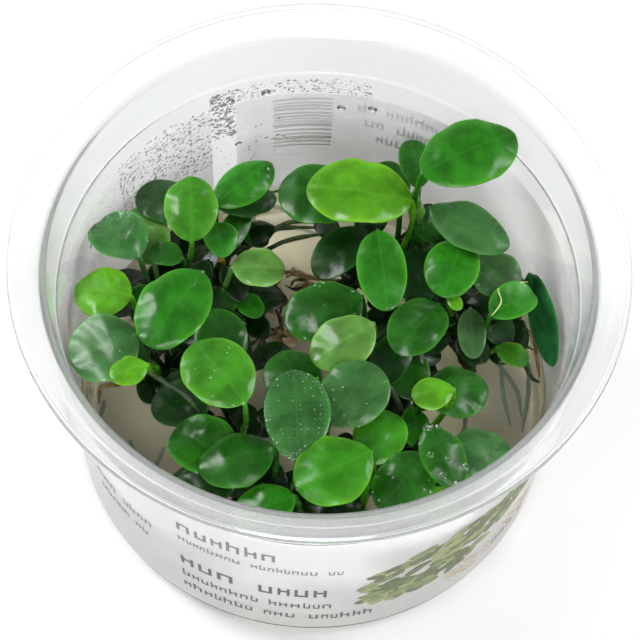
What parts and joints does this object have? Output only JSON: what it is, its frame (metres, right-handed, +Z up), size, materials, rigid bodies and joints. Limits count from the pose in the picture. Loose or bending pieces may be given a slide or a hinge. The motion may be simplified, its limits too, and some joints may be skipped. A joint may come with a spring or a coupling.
{
  "type": "anubias plantlets in a tissue-culture cup",
  "caption": "Clear round culture cup with a flared rim and a plain wrap label, holding set nutrient gel and a crowded bed of small round-leaved anubias plantlets.",
  "frame": {"origin": "middle of the cup's base, on the surface it stands on", "axes": "+Z up the cup's axis; -Y is the near side with the label's print; the label's clear strip is at the back, left of +Y"},
  "size_m": [0.101, 0.101, 0.058],
  "materials": {
    "clear_plastic": "clear thin-wall plastic, slightly frosted at the rim",
    "label_paper": null,
    "nutrient_gel": "see-through beige-grey set gel, glossy and faintly cloudy",
    "rhizome_bark": "rough dark brown and ochre rhizome skin",
    "leaf_green": "waxy deep green leaf, lighter on young leaves"
  },
  "bodies": {
    "root": {"cup": "clear_plastic", "gel": "nutrient_gel", "label": "label_paper", "leaf_back_1": "leaf_green", "leaf_back_2": "leaf_green", "leaf_back_3": "leaf_green", "leaf_back_4": "leaf_green", "leaf_far_right_1": "leaf_green", "leaf_front_1": "leaf_green", "leaf_front_2": "leaf_green", "leaf_front_3": "leaf_green", "leaf_front_4": "leaf_green", "leaf_front_5": "leaf_green", "leaf_front_left_1": "leaf_green", "leaf_front_left_2": "leaf_green", "leaf_front_left_3": "leaf_green", "leaf_front_left_4": "leaf_green", "leaf_front_left_5": "leaf_green", "leaf_front_right_1": "leaf_green", "leaf_front_right_2": "leaf_green", "leaf_front_right_3": "leaf_green", "leaf_front_right_4": "leaf_green", "leaf_left_1": "leaf_green", "leaf_left_2": "leaf_green", "leaf_left_3": "leaf_green", "leaf_left_4": "leaf_green", "leaf_left_back_1": "leaf_green", "leaf_left_back_2": "leaf_green", "leaf_left_back_3": "leaf_green", "leaf_left_back_4": "leaf_green", "leaf_middle_1": "leaf_green", "leaf_middle_2": "leaf_green", "leaf_middle_3": "leaf_green", "leaf_middle_4": "leaf_green", "leaf_middle_back_1": "leaf_green", "leaf_middle_back_2": "leaf_green", "leaf_middle_back_3": "leaf_green", "leaf_middle_back_4": "leaf_green", "leaf_middle_left_1": "leaf_green", "leaf_middle_left_2": "leaf_green", "leaf_middle_left_3": "leaf_green", "leaf_right_1": "leaf_green", "leaf_right_2": "leaf_green", "leaf_right_3": "leaf_green", "leaf_right_4": "leaf_green", "leaf_right_back_1": "leaf_green", "leaf_right_back_2": "leaf_green", "leaf_right_back_3": "leaf_green", "rhizome_back": "rhizome_bark", "rhizome_far_right": "rhizome_bark", "rhizome_front": "rhizome_bark", "rhizome_front_left": "rhizome_bark", "rhizome_front_right": "rhizome_bark", "rhizome_left": "rhizome_bark", "rhizome_left_back": "rhizome_bark", "rhizome_middle": "rhizome_bark", "rhizome_middle_back": "rhizome_bark", "rhizome_middle_left": "rhizome_bark", "rhizome_right": "rhizome_bark", "rhizome_right_back": "rhizome_bark"}
  },
  "joints": []
}
